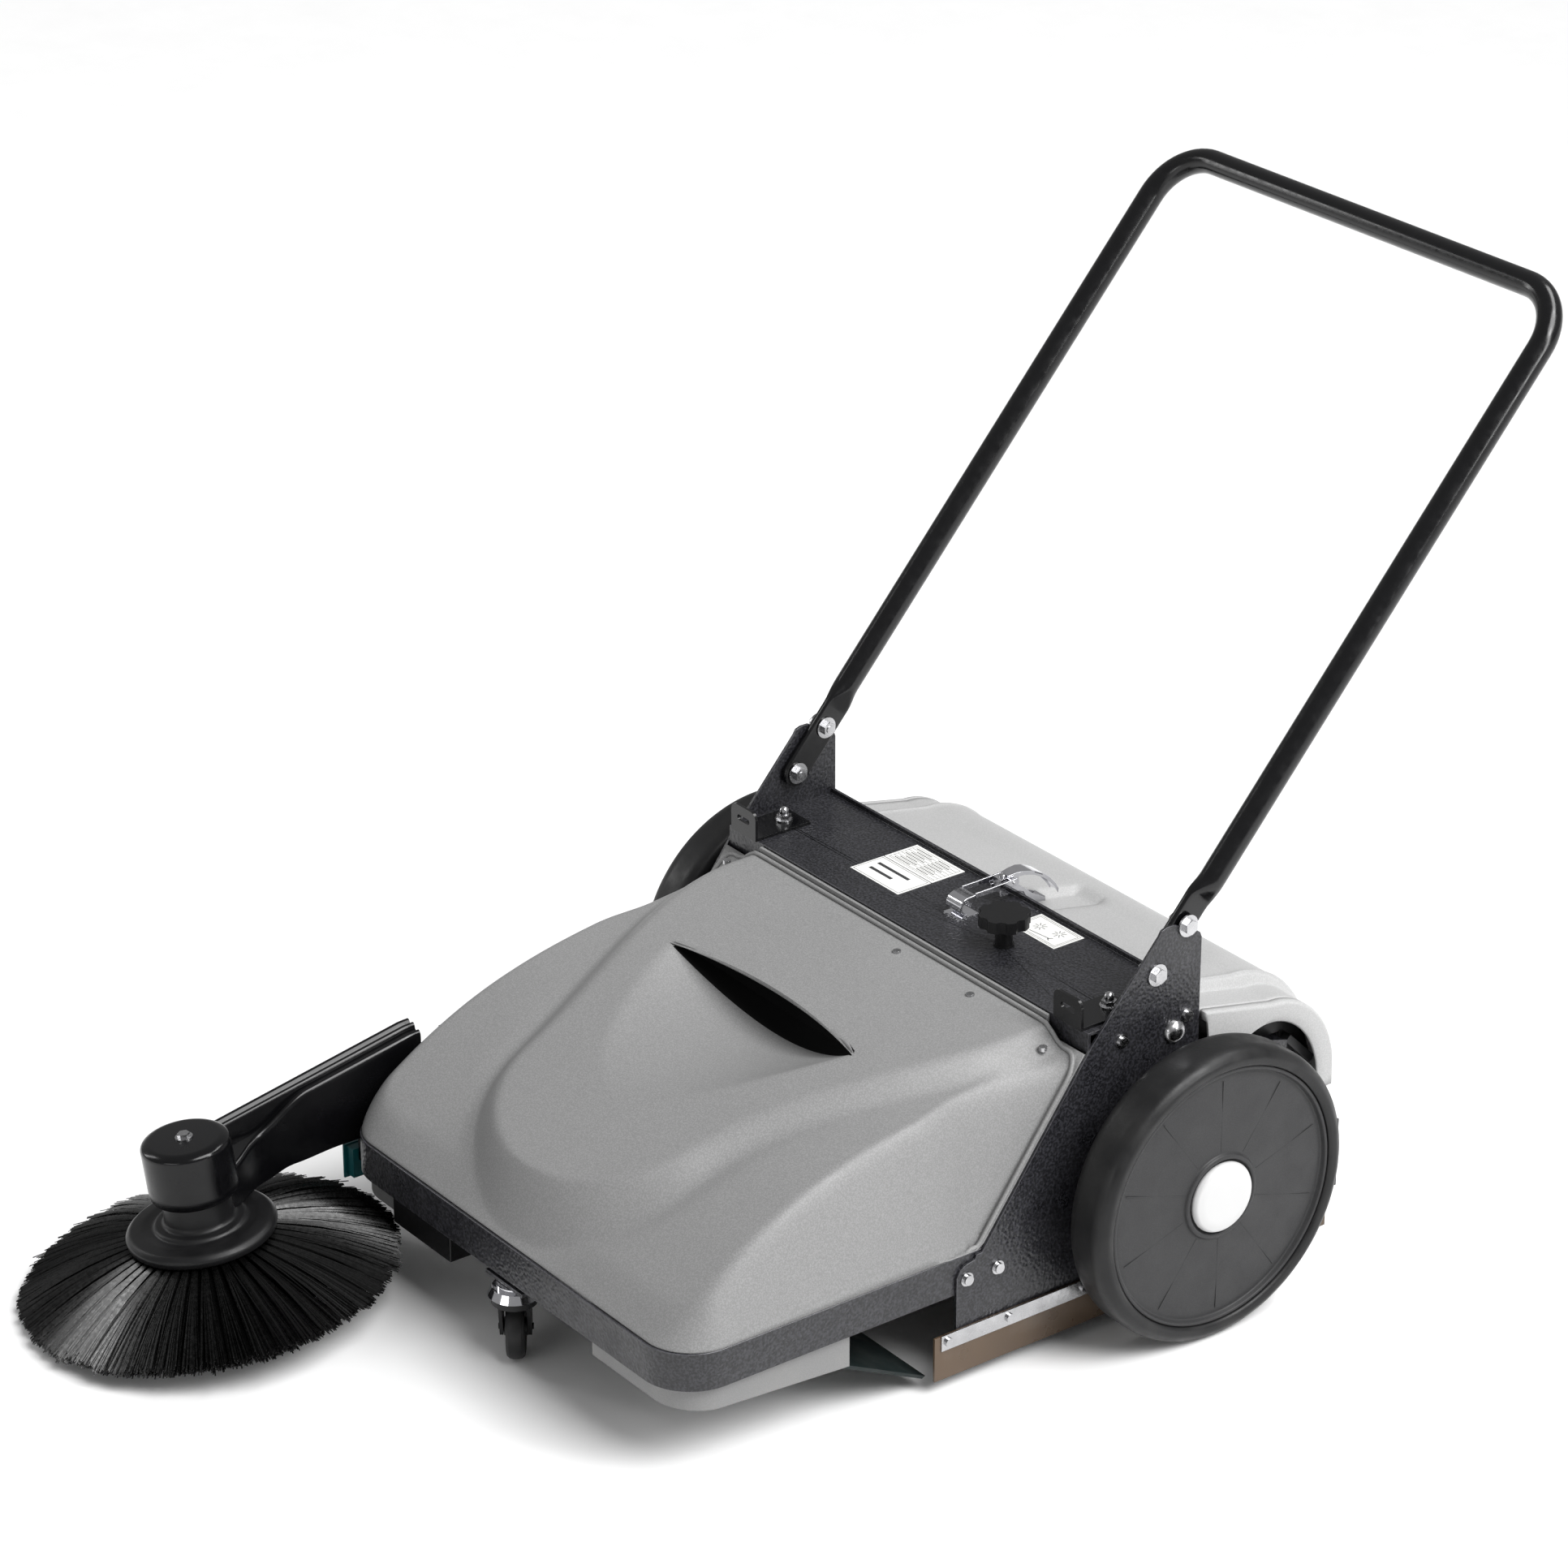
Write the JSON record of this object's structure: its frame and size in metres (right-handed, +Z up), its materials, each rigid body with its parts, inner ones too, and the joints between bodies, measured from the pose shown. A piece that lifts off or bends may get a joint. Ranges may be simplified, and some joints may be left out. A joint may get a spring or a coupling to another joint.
{
  "type": "push floor sweeper",
  "caption": "Walk-behind push sweeper: U handle, large wheels, lift-out grey hopper, rear cover, main brush and a belt-driven side brush.",
  "frame": {"origin": "on the floor, under the centre of the whole sweeper's bounding box", "axes": "+Z up, +Y towards the handle and the operator, -Y the front with the side brush, +X the machine's left side as the operator pushes it"},
  "size_m": [0.8199, 1.3829, 0.9171],
  "materials": {
    "hammer_black": "textured",
    "gloss_black": "gloss",
    "zinc": "satin",
    "chrome": "polished",
    "cover_grey": "speckled matte",
    "rear_grey": "speckled matte",
    "bin_grey": "matte",
    "black_plastic": "satin",
    "gloss_black_plastic": "gloss",
    "tyre_rubber": "satin",
    "disc_plastic": "fine grain",
    "cap_plastic": "satin",
    "bristle": "satin fibres",
    "amber_rubber": "satin",
    "dark_rubber": "matte",
    "label_film": "satin",
    "filter_paper": "pleated",
    "roller_plastic": "satin",
    "teal_plastic": "satin",
    "steel": "turned"
  },
  "bodies": {
    "chassis": {"side_plate_left": "hammer_black", "side_plate_right": "hammer_black", "top_plate": "hammer_black", "front_band": "hammer_black", "stub_axles": "steel", "mounting_brackets": "gloss_black", "bracket_nuts": "zinc", "plate_screws": "zinc", "handle_pivot_bolts": "zinc", "labels": "label_film", "latch_keeper": "chrome", "side_skirts": "amber_rubber", "skirt_clamps": "zinc", "rear_flap": "dark_rubber", "rear_bar": "hammer_black", "filter_tray": "steel", "dust_filter": "filter_paper", "caster_bracket": "hammer_black", "spring_box": "black_plastic", "belt_guard": "black_plastic", "wheel_belt": "dark_rubber", "arm_bracket": "gloss_black", "hinge_pins": "steel"},
    "left_wheel": {"left_tyre": "tyre_rubber", "left_wheel_disc": "disc_plastic", "left_hub_cap": "cap_plastic", "left_drive_roller": "roller_plastic"},
    "right_wheel": {"right_tyre": "tyre_rubber", "right_wheel_disc": "disc_plastic", "right_hub_cap": "cap_plastic", "right_pulley": "disc_plastic"},
    "brush_carrier": {"brush_carrier": "steel"},
    "main_brush": {"brush_core": "steel", "brush_bristles": "bristle", "brush_roller": "dark_rubber"},
    "height_knob": {"height_knob": "black_plastic"},
    "hopper": {"front_cover": "cover_grey", "cover_lip": "cover_grey", "hopper_bin": "bin_grey", "cover_screws": "zinc", "front_flap": "dark_rubber"},
    "rear_cover": {"rear_cover": "rear_grey", "latch_base": "chrome"},
    "latch_lever": {"latch_lever": "chrome"},
    "latch_bail": {"latch_bail": "chrome"},
    "handle": {"handle_tube": "gloss_black", "handle_lock_bolts": "zinc"},
    "caster_swivel": {"caster_head": "chrome", "caster_fork": "black_plastic"},
    "caster_wheel": {"caster_wheel": "tyre_rubber"},
    "side_arm": {"brush_arm": "gloss_black_plastic", "brush_head": "gloss_black_plastic", "head_bolt": "zinc", "arm_belt": "dark_rubber"},
    "jack_pulley": {"jack_pulley": "disc_plastic"},
    "side_brush": {"side_spindle": "steel", "side_brush_hub": "black_plastic", "side_bristles": "bristle"},
    "brush_lever": {"brush_lever": "teal_plastic"}
  },
  "joints": [
    {"name": "left_wheel_spin", "type": "hinge", "parent": "chassis", "child": "left_wheel", "pos_m": [0.38293, 0.21335, 0.15], "axis": [1, 0, 0], "continuous": true},
    {"name": "right_wheel_spin", "type": "hinge", "parent": "chassis", "child": "right_wheel", "pos_m": [-0.29507, 0.21335, 0.15], "axis": [1, 0, 0], "continuous": true},
    {"name": "brush_height", "type": "hinge", "parent": "chassis", "child": "brush_carrier", "pos_m": [0.04392, 0.21335, 0.15], "axis": [-1, 0, 0], "range_deg": [-1.5, 4.5]},
    {"name": "brush_spin", "type": "hinge", "parent": "brush_carrier", "child": "main_brush", "pos_m": [0.04392, 0.16308, 0.12466], "axis": [1, 0, 0], "continuous": true},
    {"name": "knob_turn", "type": "hinge", "parent": "chassis", "child": "height_knob", "pos_m": [0.13392, 0.16835, 0.34], "axis": [0, 0, 1], "range_deg": [-90, 270]},
    {"name": "hopper_lift", "type": "slide", "parent": "chassis", "child": "hopper", "axis": [0, 0, 1], "range_m": [0, 0.25]},
    {"name": "rear_cover_hinge", "type": "hinge", "parent": "chassis", "child": "rear_cover", "pos_m": [0.04392, 0.41235, 0.11], "axis": [-1, 0, 0], "range_deg": [0, 75]},
    {"name": "latch_lever_hinge", "type": "hinge", "parent": "rear_cover", "child": "latch_lever", "pos_m": [0.05792, 0.22535, 0.33], "axis": [1, 0, 0], "range_deg": [0, 110]},
    {"name": "latch_bail_hinge", "type": "hinge", "parent": "latch_lever", "child": "latch_bail", "pos_m": [0.05792, 0.23335, 0.337], "axis": [1, 0, 0], "range_deg": [-110, 0]},
    {"name": "handle_fold", "type": "hinge", "parent": "chassis", "child": "handle", "pos_m": [0.04392, 0.19435, 0.355], "axis": [1, 0, 0], "range_deg": [0, 60]},
    {"name": "caster_swivel", "type": "hinge", "parent": "chassis", "child": "caster_swivel", "pos_m": [0.04392, -0.33665, 0.07], "axis": [0, 0, 1], "continuous": true},
    {"name": "caster_wheel_spin", "type": "hinge", "parent": "caster_swivel", "child": "caster_wheel", "pos_m": [0.03434, -0.32943, 0.031], "axis": [0.6018, 0.7986, 0], "continuous": true},
    {"name": "side_arm_lift", "type": "hinge", "parent": "chassis", "child": "side_arm", "pos_m": [-0.25057, -0.25665, 0.15], "axis": [-1, 0, 0], "range_deg": [0, 30]},
    {"name": "jack_spin", "type": "hinge", "parent": "chassis", "child": "jack_pulley", "pos_m": [-0.24807, -0.25665, 0.15], "axis": [1, 0, 0], "continuous": true},
    {"name": "side_brush_spin", "type": "hinge", "parent": "side_arm", "child": "side_brush", "pos_m": [-0.22667, -0.50995, 0.082], "axis": [-0.0731, -0.0975, 0.9925], "continuous": true},
    {"name": "brush_lever_swing", "type": "hinge", "parent": "chassis", "child": "brush_lever", "pos_m": [-0.24108, -0.30665, 0.094], "axis": [1, 0, 0], "range_deg": [0, 40]}
  ],
  "couplings": [
    {"joint": "brush_spin", "follows": "left_wheel_spin", "ratio": -1.8},
    {"joint": "knob_turn", "follows": "brush_height", "ratio": 60},
    {"joint": "latch_bail_hinge", "follows": "latch_lever_hinge", "ratio": -1},
    {"joint": "jack_spin", "follows": "right_wheel_spin", "ratio": 1.6},
    {"joint": "side_brush_spin", "follows": "right_wheel_spin", "ratio": -1.3}
  ]
}
